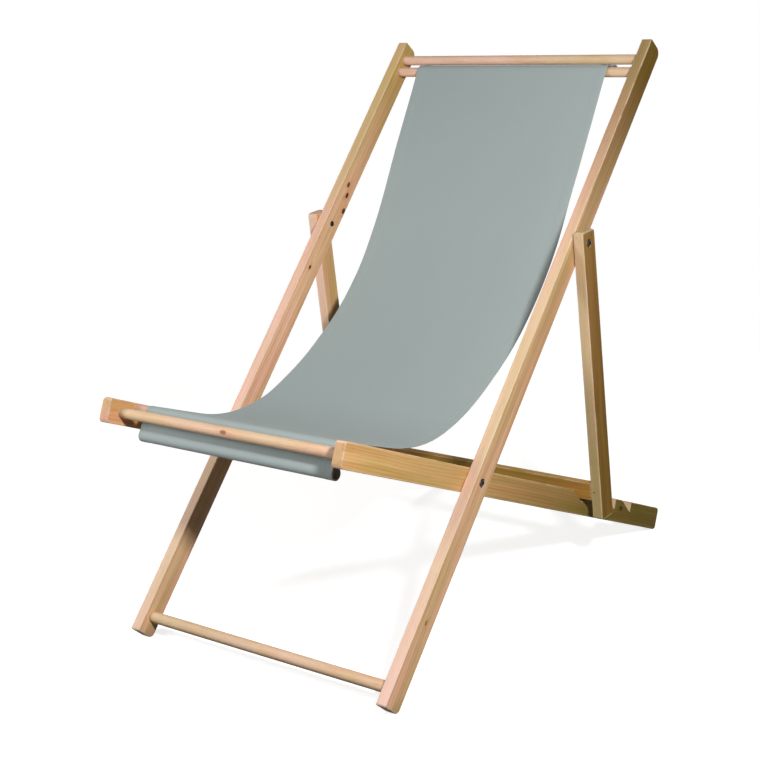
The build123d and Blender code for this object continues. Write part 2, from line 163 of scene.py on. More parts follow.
class Network:
    """The nodes of a material or of the world, with one method that adds any node."""

    def __init__(self, owner, output):
        owner.use_nodes = True
        self.tree = owner.node_tree
        self.output = self.tree.nodes[output]

    def fill(self, socket, value):
        """Links a wire to a socket, or sets a plain value on it."""
        if isinstance(value, Wire):
            self.tree.links.new(value.socket, socket)
        else:
            socket.default_value = value

    def node(self, kind, settings, sockets, result=0):
        """Adds a node: its settings first, then its sockets by name or number."""
        made = self.tree.nodes.new(kind)
        for name, value in settings.items():
            if name == "stops":
                self.stops(made.color_ramp, value)
            else:
                setattr(made, name, value)
        for key, value in sockets.items():
            self.fill(made.inputs[key], value)
        return Wire(self, made.outputs[result])

    def stops(self, ramp, stops):
        """Gives a ramp its stops, each a place from 0 to 1 and a grey level."""
        while len(ramp.elements) < len(stops):
            ramp.elements.new(0.5)
        for element, (place, level) in zip(ramp.elements, stops):
            element.position = place
            element.color = (level, level, level, 1)

    def maths(self, operation, first, second=0.0):
        return self.node("ShaderNodeMath", {"operation": operation}, {0: first, 1: second})

    def vector(self, operation, first, second):
        return self.node("ShaderNodeVectorMath", {"operation": operation}, {0: first, 1: second})

    def length(self, vector):
        return self.node("ShaderNodeVectorMath", {"operation": "LENGTH"}, {0: vector}, "Value")

    def rise(self, value, start, end):
        """0 below start, 1 above end and a smooth rise between; start may be the larger one."""
        settings = {"interpolation_type": "SMOOTHSTEP"}
        if start < end:
            sockets = {"Value": value, "From Min": start, "From Max": end}
            return self.node("ShaderNodeMapRange", settings, sockets)
        sockets = {"Value": value, "From Min": end, "From Max": start}
        return 1 - self.node("ShaderNodeMapRange", settings, sockets)

    def ramp(self, value, stops):
        return self.node("ShaderNodeValToRGB", {"stops": stops}, {"Fac": value})

    def blend(self, factor, first, second, blend_type="MIX"):
        """Mixes two colours."""
        settings = {"data_type": "RGBA", "blend_type": blend_type}
        return self.node("ShaderNodeMix", settings, {0: factor, 6: first, 7: second}, 2)

    def cloud(self, place, stretch, detail=3.0, roughness=0.5):
        """Noise whose lumps are stretched differently along each axis, from 0 to 1."""
        scaled = self.vector("MULTIPLY", place, stretch)
        sockets = {"Vector": scaled, "Scale": 1.0, "Detail": detail, "Roughness": roughness}
        return self.node("ShaderNodeTexNoise", {"noise_dimensions": "3D"}, sockets)

    def points(self):
        """Where each point lies in the object's own coordinates, in metres."""
        return self.node("ShaderNodeTexCoord", {}, {}, "Object")

    def facing(self):
        """Which way the surface faces, in the object's own coordinates."""
        return self.node("ShaderNodeTexCoord", {}, {}, "Normal")

    def parts(self, vector):
        """The three numbers of a vector."""
        x = self.node("ShaderNodeSeparateXYZ", {}, {0: vector}, "X")
        return x, x.sibling("Y"), x.sibling("Z")

    def ends_in(self, shader):
        """Makes a shader the one that is seen."""
        self.fill(self.output.inputs["Surface"], shader)


print("network class ready")

# %% [markdown]
# A finish is such a network with Blender's Principled shader in it. That one shader covers wood,
# steel and cloth, so a finish only has to say what feeds its sockets.

# %% A finish for one material


class Finish(Network):
    """A material with its Principled shader."""

    def __init__(self, name):
        self.material = bpy.data.materials.new(name)
        super().__init__(self.material, "Material Output")
        self.surface = self.tree.nodes["Principled BSDF"]

    def paint(self, **sockets):
        """Fills sockets of the shader. An underscore in a name stands for a space."""
        for name, value in sockets.items():
            self.fill(self.surface.inputs[name.replace("_", " ")], value)

    def relief(self, height, strength, distance):
        """Bumps that a height makes, as a new surface direction."""
        sockets = {"Height": height, "Strength": strength, "Distance": distance}
        self.paint(Normal=self.node("ShaderNodeBump", {}, sockets))

    def show(self, *names):
        """Puts the finish on CAD nodes, in place of their plain material."""
        for name in names:
            mesh = frame["nodes"][name].data
            mesh.materials.clear()
            mesh.materials.append(self.material)


print("finish class ready")

# %% [markdown]
# ## How planed wood is built up
#
# A board is a slice of a trunk. Its growth rings are tubes round the pith, and the pith runs
# nearly along the board but outside it. A face that cuts the tubes at a shallow angle shows long
# arches, and a face that cuts them squarely shows straight lines. One rule gives both: measure
# the distance from the pith line, and repeat a light-to-dark ring every few millimetres. The same
# rule draws the right curves on the end grain too, which a flat stripe texture can't do.
#
# A board is known by the pivot that it hangs on, its angle, how far its first end lies from that
# pivot, and half of its width, length and depth. Its box would give a slightly wrong middle,
# because its ends are rounded.

# %% The three kinds of board
from collections import namedtuple

Board = namedtuple("Board", "pivot angle start half_sizes")
LONG_RAIL = Board(SEAT_PIVOT, RAIL_ANGLE, -0.3915, (0.010, 0.630, 0.0195))
SEAT_RAIL = Board(SEAT_PIVOT, SEAT_ANGLE, -0.336, (0.010, 0.493, 0.021))
LEG = Board(PROP_PIVOT, LEG_ANGLE, -0.022, (0.010, 0.263, 0.0185))


def board_middle(node, board):
    """The middle of one board of a kind, with its place across the chair from the node."""
    along = board.start + board.half_sizes[1]
    step = Vector((0, cos(board.angle), sin(board.angle))) * along
    centre = board.pivot + step
    centre.x = middle(node).x
    return centre


print("a long rail is", 2 * LONG_RAIL.half_sizes[1], "m long")

# %% [markdown]
# The coordinates come from the object, turned so that they run across the board, along it, and
# from one of its narrow edges to the other. One function serves the boards that lie in the plane
# of the side view, and the other serves what runs across the chair.

# %% Coordinates of a board and of a rung


def board_place(wood, centre, angle):
    """Places across and along a board of the side view, and off its middle line."""
    sockets = {"Vector": wood.points(), "Location": centre, "Rotation": (angle, 0, 0)}
    return wood.node("ShaderNodeMapping", {"vector_type": "TEXTURE"}, sockets)


def rung_place(wood, centre, spin=0.0):
    """The same for a bar across the chair, spun about its own length."""
    sockets = {"Vector": wood.points(), "Location": centre, "Rotation": (0, spin, -pi / 2)}
    return wood.node("ShaderNodeMapping", {"vector_type": "TEXTURE"}, sockets)


print("left long rail's middle:", board_middle("main_rail_left", LONG_RAIL))

# %% [markdown]
# ## Rings, fibres and pores
#
# Rings wander a little, because no tree is round, and the pith drifts slowly away from the line of
# the board. Between the rings run the fibres, thin streaks many times longer than wide, and short
# dark pores. Wide bands and slow changes of tone run along a board too, because no trunk grows
# evenly. A knot is the root of a branch: a dark plug, with the rings pushed aside and redder wood
# round it. Each knot's distance is measured in a stretched space, so that the plug is an oval along
# the grain. A knot has a place, three sizes and a depth of colour.

# %% The grain of one board
RING_MM = 4.1
WANDER = 0.011
RIPPLE = 0.0011
SIDE_DRIFT = 0.018
DEPTH_DRIFT = 0.012


def knot_field(wood, place, spot, size):
    """Distance from a knot's middle, where 1 is its rim."""
    away = wood.vector("SUBTRACT", place, spot)
    scaled = wood.vector("MULTIPLY", away, tuple(1 / s for s in size))
    return wood.length(scaled)


def grain(wood, place, seed, pith, knots=()):
    """Ring, fibre, pore, band, tone, knot and knot rim masks of a board, each from 0 to 1."""
    moved = wood.vector("ADD", place, (seed * 1.7, seed * 3.1, seed * 2.3))
    across, along, off = wood.parts(place)
    wander = wood.cloud(moved, (14, 2.2, 14), 2.0)
    ripple = wood.cloud(moved, (60, 9, 60), 2.0)
    side_drift = SIDE_DRIFT if seed % 2 else -SIDE_DRIFT
    sideways = across - pith[0] - along * side_drift
    outwards = off - pith[1] - along * DEPTH_DRIFT
    radius = wood.maths("SQRT", sideways * sideways + outwards * outwards)
    radius = radius + wander * WANDER + ripple * RIPPLE
    plug = 0.0
    rim = 0.0
    for spot, size, darkness in knots:
        distance = knot_field(wood, place, spot, size)
        radius = radius + wood.rise(distance, 3.4, 0.4) * size[2] * 0.9
        plug = wood.maths("MAXIMUM", wood.rise(distance, 1.20, 0.75) * darkness, plug)
        rim = wood.maths("MAXIMUM", wood.rise(distance, 3.6, 1.0) * darkness, rim)
    ring = wood.maths("FRACT", radius * (1000 / RING_MM))
    rings = wood.ramp(ring, [(0.0, 0.05), (0.35, 0.18), (0.86, 0.95), (1.0, 0.05)])
    fibres = wood.cloud(moved, (820, 11, 820), 3.0, 0.65)
    dashes = wood.cloud(moved, (1500, 45, 1500), 1.0)
    pores = wood.rise(dashes, 0.66, 0.74)
    bands = wood.cloud(moved, (75, 2.6, 75), 3.0, 0.6)
    tone = wood.cloud(moved, (26, 3.4, 26), 2.0)
    return rings, fibres, pores, bands, tone, plug, rim


print("one ring every", RING_MM, "mm")

# %% [markdown]
# ## From masks to a finish
#
# The early wood is pale and the late wood is a deeper honey. A tint for each board lies over that,
# partly the board's own tone and partly painted light and shade. Then come, one over the other,
# a paler tone, which is painted light on the edges of the boards and a random mottle on the rungs
# and the bar, slow changes between a pinker and a more olive tone, painted shade, the redder wood
# round the knots, pores and knots, wear, and dirt together with painted shade on what faces down.
# Each of these is a mask with a colour.

# %% The finish of planed, thinly oiled wood
PALE = (0.76, 0.50, 0.28, 1)
HONEY = (0.50, 0.28, 0.11, 1)
# Painted light: the pale, slightly pink colour of lit narrow edges, also used for paler mottles.
PALE_LIT_EDGE = (0.78, 0.585, 0.485, 1)
RUBBED = (0.80, 0.63, 0.47, 1)
PORE = (0.13, 0.065, 0.025, 1)
KNOT = (0.045, 0.020, 0.010, 1)
# Real dirt near the floor, and painted shade on what faces down.
FLOOR_DIRT_AND_SHADE = (0.15, 0.11, 0.07, 1)
NO_TINT = (1.0, 1.0, 1.0)
GRIMY_BELOW = (0.03, 0.002)


def wood_finish(
    wood, masks, tint, wear, pale_and_lit, shade=0.0, shade_tint=NO_TINT, pale_and_lit_colour=PALE_LIT_EDGE, down_shade=0.0
):
    """Joins the masks into colour, roughness and relief."""
    rings, fibres, pores, bands, tone, plug, rim = masks
    deep = wood.rise(bands, 0.36, 0.66)
    depth = rings * 0.34 + fibres * 0.36 + deep * 0.48 - 0.14
    colour = wood.blend(depth, PALE, HONEY)
    colour = wood.blend(1.0, colour, (*tint, 1), "MULTIPLY")
    # Paler tone: painted light on the edges of the boards, a random mottle on the rungs and the bar.
    colour = wood.blend(pale_and_lit * (1.06 - depth * 0.34), colour, pale_and_lit_colour)
    pink = wood.blend(1.0, colour, (1.07, 0.975, 1.02, 1), "MULTIPLY")
    olive = wood.blend(1.0, colour, (0.92, 0.955, 0.80, 1), "MULTIPLY")
    colour = wood.blend(wood.rise(tone, 0.34, 0.66), olive, pink)
    # Painted shade: the colour is darkened by the shade mask.
    shaded = wood.blend(1.0, colour, (*shade_tint, 1), "MULTIPLY")
    colour = wood.blend(shade, colour, shaded)
    red = wood.blend(1.0, colour, (0.98, 0.76, 0.62, 1), "MULTIPLY")
    colour = wood.blend(rim * 0.55, colour, red)
    colour = wood.blend(pores * 0.32, colour, PORE)
    colour = wood.blend(plug, colour, KNOT)
    colour = wood.blend(wear * 0.50, colour, RUBBED)
    # Dirt near the floor, and painted shade on what faces down near the ground.
    height = wood.parts(wood.points())[2]
    grime = wood.rise(height, *GRIMY_BELOW) * wood.rise(bands, 0.35, 0.6)
    colour = wood.blend(wood.maths("MAXIMUM", grime * 0.35, down_shade), colour, FLOOR_DIRT_AND_SHADE)
    roughness = 0.54 + fibres * 0.14 + wear * 0.12 - rings * 0.06
    wood.paint(Base_Color=colour, Roughness=roughness, IOR=1.45, Specular_IOR_Level=0.06)
    wood.relief(fibres * 0.5 - rings * 0.25 - pores * 0.8, 0.35, 0.00035)


print("wood runs from", PALE[:3], "to", HONEY[:3])

# %% [markdown]
# Handling and years outdoors lighten the sharp edges first, so the finish needs to know how near a
# point is to an edge. On the skin of a box one of the three distances to its sides is zero. The
# middle one of the three is the distance to the nearest edge, and it needs no extra geometry. A
# point that lies inside all the sides is on the wall of a notch or a hole.

# %% Edges and cut faces


def side_gaps_of(wood, place, half_sizes):
    """How far a point lies inside each pair of a board's sides, in metres."""
    return [half - wood.maths("ABSOLUTE", part) for part, half in zip(wood.parts(place), half_sizes)]


def near_edge(wood, gaps):
    """Distance to the nearest edge of a board."""
    low = wood.maths("MINIMUM", gaps[0], gaps[1])
    high = wood.maths("MAXIMUM", gaps[0], gaps[1])
    return wood.maths("MAXIMUM", low, wood.maths("MINIMUM", high, gaps[2]))


def cut_face(wood, gaps):
    """1 on the walls of notches and holes."""
    least = wood.maths("MINIMUM", wood.maths("MINIMUM", gaps[0], gaps[1]), gaps[2])
    return wood.rise(least, 0.0006, 0.0012)


print("edge masks ready")

# %% [markdown]
# The narrow edges of a board are painted pale and slightly pink, as painted light, on most boards
# the more the lower they are. The wide sides stay more yellow and are painted darker towards one
# end, as painted shade, and the narrow edges take less of it. The sawn ends get the same painted
# light and are a little darker, as end grain is. The walls of the notches are pale and unshaded,
# partly as fresh-cut wood and partly as painted light. What faces down close to the ground is
# painted darker, as painted shade. The scuffs are broken up by noise, because wear is never even.

# %% Painted light and shade, wear and dirt on a board
WORN_EDGE = (0.0030, 0.0006)
NARROW_EDGE = (0.0012, 0.0004)
SAWN_END = (0.0040, 0.0010)
# Painted shade on what faces down near the ground: how far down it faces and how low it is.
FACING_DOWN = (-0.25, -0.60)
DOWN_SHADE_BELOW = (0.06, 0.02)


def board_finish(node, board, seed, pith, tint, pale_and_lit, shade, shade_tint, knots=(), pale_and_lit_colour=PALE_LIT_EDGE):
    """One board's own finish. Painted edge light has a strength for each end, and painted shade a
    start and an end.
    """
    wood = Finish("wood_" + node)
    place = board_place(wood, board_middle(node, board), board.angle)
    half_length = board.half_sizes[1]
    to_middle = Vector((0, board.start + half_length, 0))
    spots = [(Vector(spot) - to_middle, size, darkness) for spot, size, darkness in knots]
    masks = grain(wood, place, seed, pith, spots)
    scuffs = wood.cloud(place, (180, 30, 180), 3.0, 0.6)
    gaps = side_gaps_of(wood, place, board.half_sizes)
    edge = wood.rise(near_edge(wood, gaps), *WORN_EDGE)
    wear = edge * wood.rise(scuffs, 0.34, 0.62)
    cut = cut_face(wood, gaps)
    narrow = wood.rise(gaps[2], *NARROW_EDGE)
    sawn = wood.rise(gaps[1], *SAWN_END)
    share = wood.parts(place)[1] * (0.5 / half_length) + 0.5
    # Painted shade along the board, weaker on its narrow edges.
    shaded = wood.rise(share, *shade) * (1 - narrow * 0.3)
    # Painted light on the narrow edges and sawn ends, stronger towards one end. The notch walls are
    # pale, partly as fresh-cut wood and partly as painted light.
    level = pale_and_lit[0] + share * (pale_and_lit[1] - pale_and_lit[0])
    pale_and_lit_mask = wood.maths("MAXIMUM", wood.maths("MAXIMUM", narrow, sawn) * level, cut * 0.8)
    # Sawn ends are a little darker, as end grain is. Notch walls get no painted shade.
    shaded = wood.maths("MAXIMUM", shaded, sawn * 0.28) * (1 - cut)
    # Painted shade on what faces down near the ground.
    downwards = wood.rise(wood.parts(wood.facing())[2], *FACING_DOWN)
    facing_down_shade = downwards * wood.rise(wood.parts(wood.points())[2], *DOWN_SHADE_BELOW) * 0.85
    wood_finish(wood, masks, tint, wear, pale_and_lit_mask, shaded, shade_tint, pale_and_lit_colour, facing_down_shade)
    wood.show(node)
    print(node, "grain set, seed", seed)


print("board finish ready")

# %% [markdown]
# ## The long rails, seat rails and legs
#
# Each board comes from its own place in the tree, so each gets its own seed and its own distance
# to the pith. The left long rail has four small dark knots on its inner side, one near the middle
# and three close together above the prop pivot. The right one has a single pale knot low on its
# outer side, and the right seat rail has one among its notches. Knots are given across the board,
# along it from the pivot, and off its middle line.

# %% Finish the boards
# Each board's tint is partly its own tone and partly painted light and shade. The edge light levels
# are painted light, and the shade range and its tint are painted shade.
board_finish(
    "main_rail_left", LONG_RAIL, seed=3, pith=(0.055, -0.030), tint=(1.30, 1.29, 1.62),
    pale_and_lit=(0.95, 0.28), shade=(0.66, 0.98), shade_tint=(0.70, 0.78, 0.42),
    knots=[
        ((0.010, 0.356, 0.006), (0.006, 0.0046, 0.0030), 0.95),
        ((0.010, 0.494, -0.014), (0.006, 0.0062, 0.0042), 0.95),
        ((0.010, 0.524, -0.005), (0.006, 0.0060, 0.0036), 0.95),
        ((0.010, 0.543, 0.003), (0.006, 0.0062, 0.0034), 0.90),
    ],
)
board_finish(
    "main_rail_right", LONG_RAIL, seed=6, pith=(-0.050, 0.045), tint=(1.04, 1.06, 1.20),
    pale_and_lit=(0.95, 0.28), shade=(0.64, 0.97), shade_tint=(0.27, 0.25, 0.08),
    knots=[((0.010, -0.245, 0.002), (0.004, 0.0045, 0.003), 0.55)],
)
board_finish(
    "seat_rail_left", SEAT_RAIL, seed=11, pith=(0.060, 0.020), tint=(1.16, 0.98, 0.98),
    pale_and_lit=(0.50, 0.30), shade=(0.12, 0.50), shade_tint=(0.36, 0.30, 0.20),
)
board_finish(
    "seat_rail_right", SEAT_RAIL, seed=14, pith=(-0.035, -0.050), tint=(0.95, 0.95, 0.79),
    pale_and_lit=(0.28, 0.10), shade=(0.24, 0.94), shade_tint=(0.34, 0.39, 0.18),
    knots=[((0.010, 0.503, 0.006), (0.006, 0.0065, 0.0045), 0.80)],
)

# %% [markdown]
# The right leg is tinted much darker than the rest, partly its own tone and partly painted shade on
# its sides. Its front edge is painted lighter, as painted light, in a greyish olive and not in the
# pink of the other boards.

# %% Finish the legs
# Painted light on the right leg's narrow edges, in its own greyish olive.
OLIVE_LIT_EDGE = (0.68, 0.54, 0.35, 1)

board_finish(
    "prop_leg_left", LEG, seed=17, pith=(0.045, 0.040), tint=(1.16, 1.20, 1.14),
    pale_and_lit=(0.80, 0.70), shade=(0.35, 1.0), shade_tint=(0.52, 0.45, 0.33),
)
# The right leg's dark tint is partly its own tone and partly painted shade on its sides.
board_finish(
    "prop_leg_right", LEG, seed=20, pith=(-0.060, -0.015), tint=(0.47, 0.40, 0.25),
    pale_and_lit=(0.78, 0.98), shade=(0.10, 1.0), shade_tint=(0.77, 0.80, 0.50),
    pale_and_lit_colour=OLIVE_LIT_EDGE,
)

# %% [markdown]
# ## Rungs and dowels
#
# The rungs are turned from sticks that were all split off equally far from the pith. They have no
# long edges to wear, but hands and canvas polish them, so the wear mask is only a soft mottle. The
# front rung shows a small knot near its middle, and its lighter tint is painted light on its front.
# The foot rung hangs just above the ground, and its lower half is painted darker, as painted shade.

# %% Finish the rungs and the dowels
# Painted shade on the underside of a rung.
UNDERSIDE_SHADE = (0.42, 0.40, 0.34)


def rung_finish(node, seed, tint=(1, 1, 1), knots=(), under=0.0):
    """One rung. Under says how far its lower half is painted darker, as painted shade."""
    wood = Finish("wood_" + node)
    place = rung_place(wood, middle(node))
    masks = grain(wood, place, seed, (0.030, 0.055), knots)
    mottle = wood.cloud(place, (60, 12, 60), 3.0, 0.6)
    polish = wood.rise(mottle, 0.52, 0.8) * 0.4
    pale_and_lit_mask = 0.35 + wood.rise(mottle, 0.3, 0.6) * 0.4
    # Painted shade on the lower half of a rung.
    below = wood.rise(wood.parts(place)[2], 0.002, -0.007) * under
    wood_finish(wood, masks, tint, polish, pale_and_lit_mask, below, UNDERSIDE_SHADE)
    wood.show(node)
    print(node, "grain set, seed", seed)


rung_finish("foot_rung", 23, under=0.9)
rung_finish("head_rung_upper", 26, (0.89, 0.88, 0.91))
rung_finish("head_rung_lower", 29)
front_knot = ((0.008, -0.001, 0.003), (0.005, 0.0070, 0.0033), 0.62)
# The front rung's lighter tint is painted light on its front side.
rung_finish("seat_rung_front", 32, (1.07, 1.05, 1.09), [front_knot])
rung_finish("seat_rung_rear", 35)
# The dowels inside the pockets are tinted dark, as painted shade.
POCKET_SHADE = (0.42, 0.37, 0.30)
rung_finish("front_sling_dowel", 38, POCKET_SHADE)
rung_finish("head_sling_dowel", 41, POCKET_SHADE)

# %% [markdown]
# ## The bar
#
# The bar is a flat board that runs across the chair, square to the legs. It takes the rung's
# coordinates, spun to the angle of the legs. It slides in and out of the notches each time the
# chair is set up, so it is rubbed along its edges and browner than the rest.

# %% Finish the bar
BAR = (0.00625, 0.2865, 0.0165)
bar_wood = Finish("wood_prop_crossbar")
bar_place = rung_place(bar_wood, middle("prop_crossbar"), pi / 2 + LEG_ANGLE)
bar_masks = grain(bar_wood, bar_place, 44, (0.05, 0.03))
bar_gaps = side_gaps_of(bar_wood, bar_place, BAR)
bar_edge = bar_wood.rise(near_edge(bar_wood, bar_gaps), 0.0028, 0.0006)
bar_scuffs = bar_wood.cloud(bar_place, (160, 24, 160), 3.0, 0.6)
bar_wear = bar_edge * bar_wood.rise(bar_scuffs, 0.3, 0.6)
wood_finish(bar_wood, bar_masks, (0.70, 0.61, 0.20), bar_wear, bar_masks[3] * 0.08)
bar_wood.show("prop_crossbar")
print("bar finished")

# %% [markdown]
# ## Blackened steel
#
# Bolt heads, spacers, nuts and pins are small, so a tiny change reads as a big one. The heads
# are dark and slightly domed, and catch one glint. A dark metal reflects little but keeps a
# clear highlight. Noise breaks up the roughness as fingers and rain do, and a few fine scratches
# go down to brighter steel.

# %% Finish the hardware
steel = Finish("steel_blackened")
steel_place = steel.points()
smudge = steel.cloud(steel_place, (420, 420, 420), 4.0, 0.6)
scratch = steel.rise(steel.cloud(steel_place, (300, 2600, 300), 2.0, 0.5), 0.60, 0.72)
steel_colour = steel.blend(smudge, (0.018, 0.016, 0.014, 1), (0.060, 0.054, 0.048, 1))
steel_colour = steel.blend(scratch * 0.35, steel_colour, (0.34, 0.32, 0.30, 1))
steel.paint(Base_Color=steel_colour, Roughness=0.24 + smudge * 0.26, Metallic=1.0)
steel.relief(smudge * 0.6 - scratch * 0.5, 0.25, 0.0001)

metal_words = {"bolt", "spacer", "nut", "pins"}
metal_nodes = [name for name in frame["nodes"] if metal_words & set(name.split("_"))]
steel.show(*metal_nodes)
print("steel on", len(metal_nodes), "pieces")

# %% [markdown]
# ## The line of the canvas
#
# Seen from the side, the canvas is one line. It starts at the front dowel, which hangs under the
# two front rungs. It climbs to the rear one of them, turns over it, and runs down to the seat. Two
# hollows of different roundness follow, tight under the seat and wide along the back. At the head
# the canvas goes over the lower rung and back through the gap to its dowel, which is too thick to
# be pulled through. It stands a little farther off that rung than off the front one, because the
# folded hems and the flap of the pocket lie under it there. The rungs' places are read from the
# CAD, so the line always fits them.
#
# A line like that is easiest to build as a walk of straight runs and arcs, where each arc is given
# by the headings at its two ends.

# %% Runs and arcs of the side view
ROW_STEP = 0.0045


def side_view(node):
    """A rung's axis as a point of the side view."""
    centre = middle(node)
    return Vector((centre.y, centre.z))


def unit(angle):
    """A step of one metre along a heading."""
    return Vector((cos(angle), sin(angle)))


def left_of(angle):
    """The same step, turned a quarter to the left."""
    return Vector((-sin(angle), cos(angle)))


def run(start, end):
    """Points of a straight stretch, up to its end but without it."""
    count = max(2, round((end - start).length / ROW_STEP))
    return [start.lerp(end, n / count) for n in range(count)]


def turn(centre, radius, first, last):
    """Points of an arc from one heading to another. A positive radius bends to the right."""
    length = abs(radius * (last - first))
    count = max(2, round(length / min(ROW_STEP, abs(radius) / 5)))
    headings = [first + (last - first) * n / count for n in range(count)]
    return [centre + left_of(heading) * radius for heading in headings]


print("one row of points every", ROW_STEP, "m")

# %% [markdown]
# The canvas leaves the front rung at a chosen slope, and a second one divides the two hollows. The
# last heading follows from these: it is that of the straight line which touches both the wide
# hollow and the head rung.

# %% Headings and middles of the arcs
CANVAS = 0.0012
WRAP = 0.0099
HEAD_WRAP = 0.0122
SEAT_STRAIGHT = 0.115
SEAT_HOLLOW = 0.275
BACK_HOLLOW = 0.620

front_pocket = side_view("front_sling_dowel")
seat_rung = side_view("seat_rung_rear")
head_rung = side_view("head_rung_lower")
head_pocket = side_view("head_sling_dowel")

climb = seat_rung - front_pocket
up = atan2(climb.y, climb.x)
down = -radians(22.8)
rising = down + radians(40.5)
back = head_pocket - head_rung
into_gap = atan2(back.y, back.x) - asin((HEAD_WRAP - WRAP) / back.length)
over_rung = seat_rung + left_of(down) * WRAP
straight_end = over_rung + unit(down) * SEAT_STRAIGHT
seat_centre = straight_end + left_of(down) * SEAT_HOLLOW
back_centre = seat_centre + left_of(rising) * (BACK_HOLLOW - SEAT_HOLLOW)
reach = back_centre - head_rung
steep = atan2(reach.y, reach.x) - pi / 2 - acos((HEAD_WRAP + BACK_HOLLOW) / reach.length)
print("back of the canvas rises at", round(degrees(steep), 1), "degrees")

# %% [markdown]
# ## The pockets at the two ends
#
# A pocket is made by folding the canvas over its dowel and stitching the flap down. Pulled
# tight, it isn't a ring but a drop: round at the dowel, coming to a point at the seam. From the
# point the flap lies flat against the canvas.

# %% The shape of a pocket
LAYER = 0.0013


def drop_spread(point):
    """How far the drop's second side turns from the canvas, when its tip is that far away."""
    inner = WRAP - LAYER
    return atan2(inner, point) + asin(WRAP / hypot(point, inner))


def pocket_tip(dowel, heading, point):
    """The seam's place on the flap, ahead of the dowel or behind it where point is negative."""
    return dowel + left_of(heading) * (WRAP - LAYER) + unit(heading) * point


def front_drop(dowel, heading, point, flap):
    """From the free end of the flap to the dowel and round it, to the canvas's own heading."""
    tip = pocket_tip(dowel, heading, point)
    first = heading + pi + drop_spread(point)
    touch = dowel + left_of(first) * WRAP
    return run(tip + unit(heading) * flap, tip) + run(tip, touch) + turn(dowel, WRAP, first, heading)


def head_drop(dowel, heading, point, flap):
    """Round the dowel and back to the canvas, to the free end of the flap."""
    tip = pocket_tip(dowel, heading, -point)
    last = heading - pi - drop_spread(point)
    touch = dowel + left_of(last) * WRAP
    return turn(dowel, WRAP, heading, last) + run(touch, tip) + run(tip, tip - unit(heading) * flap)


print("a pocket is", round(2000 * (WRAP - CANVAS / 2), 1), "mm wide inside")

# %% [markdown]
# The walk begins at the free end of the front flap and ends at the free end of the head flap, so
# one strip makes both pockets and all that lies between them.

# %% Join the whole line
FRONT_TIP = 0.019
FRONT_FLAP = 0.010
HEAD_TIP = 0.008
HEAD_FLAP = 0.006

line = front_drop(front_pocket, up, FRONT_TIP, FRONT_FLAP)
line += run(front_pocket + left_of(up) * WRAP, seat_rung + left_of(up) * WRAP)
line += turn(seat_rung, WRAP, up, down)
line += run(over_rung, straight_end)
line += turn(seat_centre, -SEAT_HOLLOW, down, rising)
line += turn(back_centre, -BACK_HOLLOW, rising, steep)
line += run(back_centre - left_of(steep) * BACK_HOLLOW, head_rung + left_of(steep) * HEAD_WRAP)
line += turn(head_rung, HEAD_WRAP, steep, into_gap)
line += run(head_rung + left_of(into_gap) * HEAD_WRAP, head_pocket + left_of(into_gap) * WRAP)
line += head_drop(head_pocket, into_gap, HEAD_TIP, HEAD_FLAP)

travelled = [0.0]
for here, there in zip(line, line[1:]):
    travelled.append(travelled[-1] + (there - here).length)
print("canvas line:", len(line), "rows,", round(travelled[-1], 4), "m long")

# %% [markdown]
# ## From a line to a sheet
#
# The sheet is a row of points across the chair for every point of the line. The canvas is drawn
# in a little between its ends, because a loaded sling stretches and never comes back to a true
# rectangle. Free canvas is never perfectly smooth, so a slow noise moves the middle by about a
# millimetre, and the sides flutter a little more. Both fade out at the rungs, where the cloth is
# pulled tight.

# %% Width and slack at any point
HALF_WIDTHS = (0.2105, 0.2070, 0.2130)
PAST_RUNGS = 0.07
SLOW_WAVE = 0.0016
QUICK_WAVE = 0.0005
FLUTTER = 0.0016
BELLY = 0.0022
HELD_WITHIN = 0.03
FREE_BEYOND = 0.17
chord = head_rung - seat_rung


def half_width(spot):
    """Half the canvas's width at a point, as a smooth curve through front, middle and head."""
    share = (spot - seat_rung).dot(chord) / chord.length_squared
    share = 2 * (share + PAST_RUNGS) / (1 + 2 * PAST_RUNGS) - 1
    front, centre, head = HALF_WIDTHS
    return centre + (head - front) / 2 * share + ((head + front) / 2 - centre) * share * share


def ease(value, start, end):
    """0 below start, 1 above end and a smooth rise between."""
    share = min(1.0, max(0.0, (value - start) / (end - start)))
    return share * share * (3 - 2 * share)


def freedom(spot):
    """0 where a rung or dowel holds the canvas, 1 where it hangs free."""
    held = min((spot - rung).length for rung in (seat_rung, front_pocket, head_rung, head_pocket))
    return ease(held, HELD_WITHIN, FREE_BEYOND)


def slack(across, along, side_gap, spot):
    """How far the canvas stands off its plain line."""
    slow = noise.noise(Vector((across * 5.0, along * 3.4, 1.7)))
    quick = noise.noise(Vector((across * 17.0, along * 7.0, 5.1)))
    flutter = noise.noise(Vector((across * 4.0, along * 11.0, 9.3))) * (1 - ease(side_gap, 0.0, 0.06))
    belly = BELLY * (ease(side_gap, 0.0, 0.16) - 0.5)
    return freedom(spot) * (SLOW_WAVE * slow + QUICK_WAVE * quick + FLUTTER * flutter - belly)


print("half the width at the front, middle and head:", HALF_WIDTHS)

# %% [markdown]
# The long sides are hemmed: the canvas is folded over and stitched, so a strip along each side is
# thicker, and the stitches pull a fine groove into it. The points of a row stand close together
# there, and farther apart in the middle.

# %% Thickness at any point
HEM = 0.018
HEM_EXTRA = 0.00026
HEM_SLOPE = 0.0006
STITCH_FROM_SIDE = 0.0150
STITCH_DIP = 0.00022
STITCH_REACH = 0.0012
INNER_STEPS = 44


